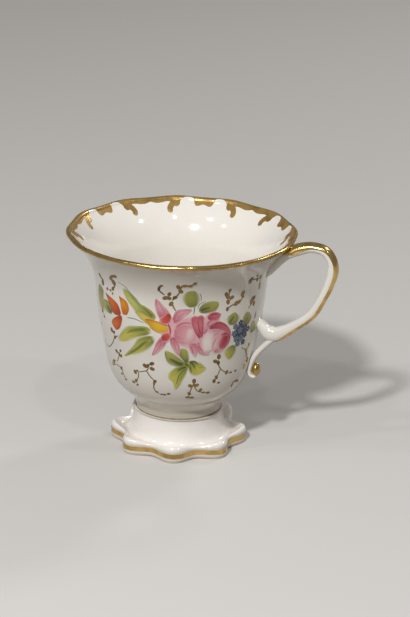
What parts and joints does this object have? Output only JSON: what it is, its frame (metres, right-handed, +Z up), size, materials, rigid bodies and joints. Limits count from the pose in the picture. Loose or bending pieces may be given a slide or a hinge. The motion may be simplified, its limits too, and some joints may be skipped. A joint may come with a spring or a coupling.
{
  "type": "moustache cup",
  "caption": "Footed porcelain moustache cup with a flared gilt rim, scroll handle and scalloped foot, painted with flower sprays; a slotted ledge inside keeps the moustache dry.",
  "frame": {"origin": "on the cup's axis, at the plane that the foot stands on", "axes": "+Z up along the cup's axis, +X towards the handle, -Y towards the drinker"},
  "size_m": [0.1085, 0.0902, 0.0886],
  "materials": {
    "porcelain": "gloss",
    "foot_porcelain": "gloss",
    "gilding": "polished",
    "slip": "matte"
  },
  "bodies": {
    "root": {"bowl": "porcelain", "slip_joint": "slip", "foot": "foot_porcelain", "handle_loop": "porcelain", "handle_strut": "porcelain", "strut_bead": "gilding", "moustache_guard": "porcelain", "rim_gilding": "gilding", "handle_gilding": "gilding", "foot_gilding": "gilding"}
  },
  "joints": []
}
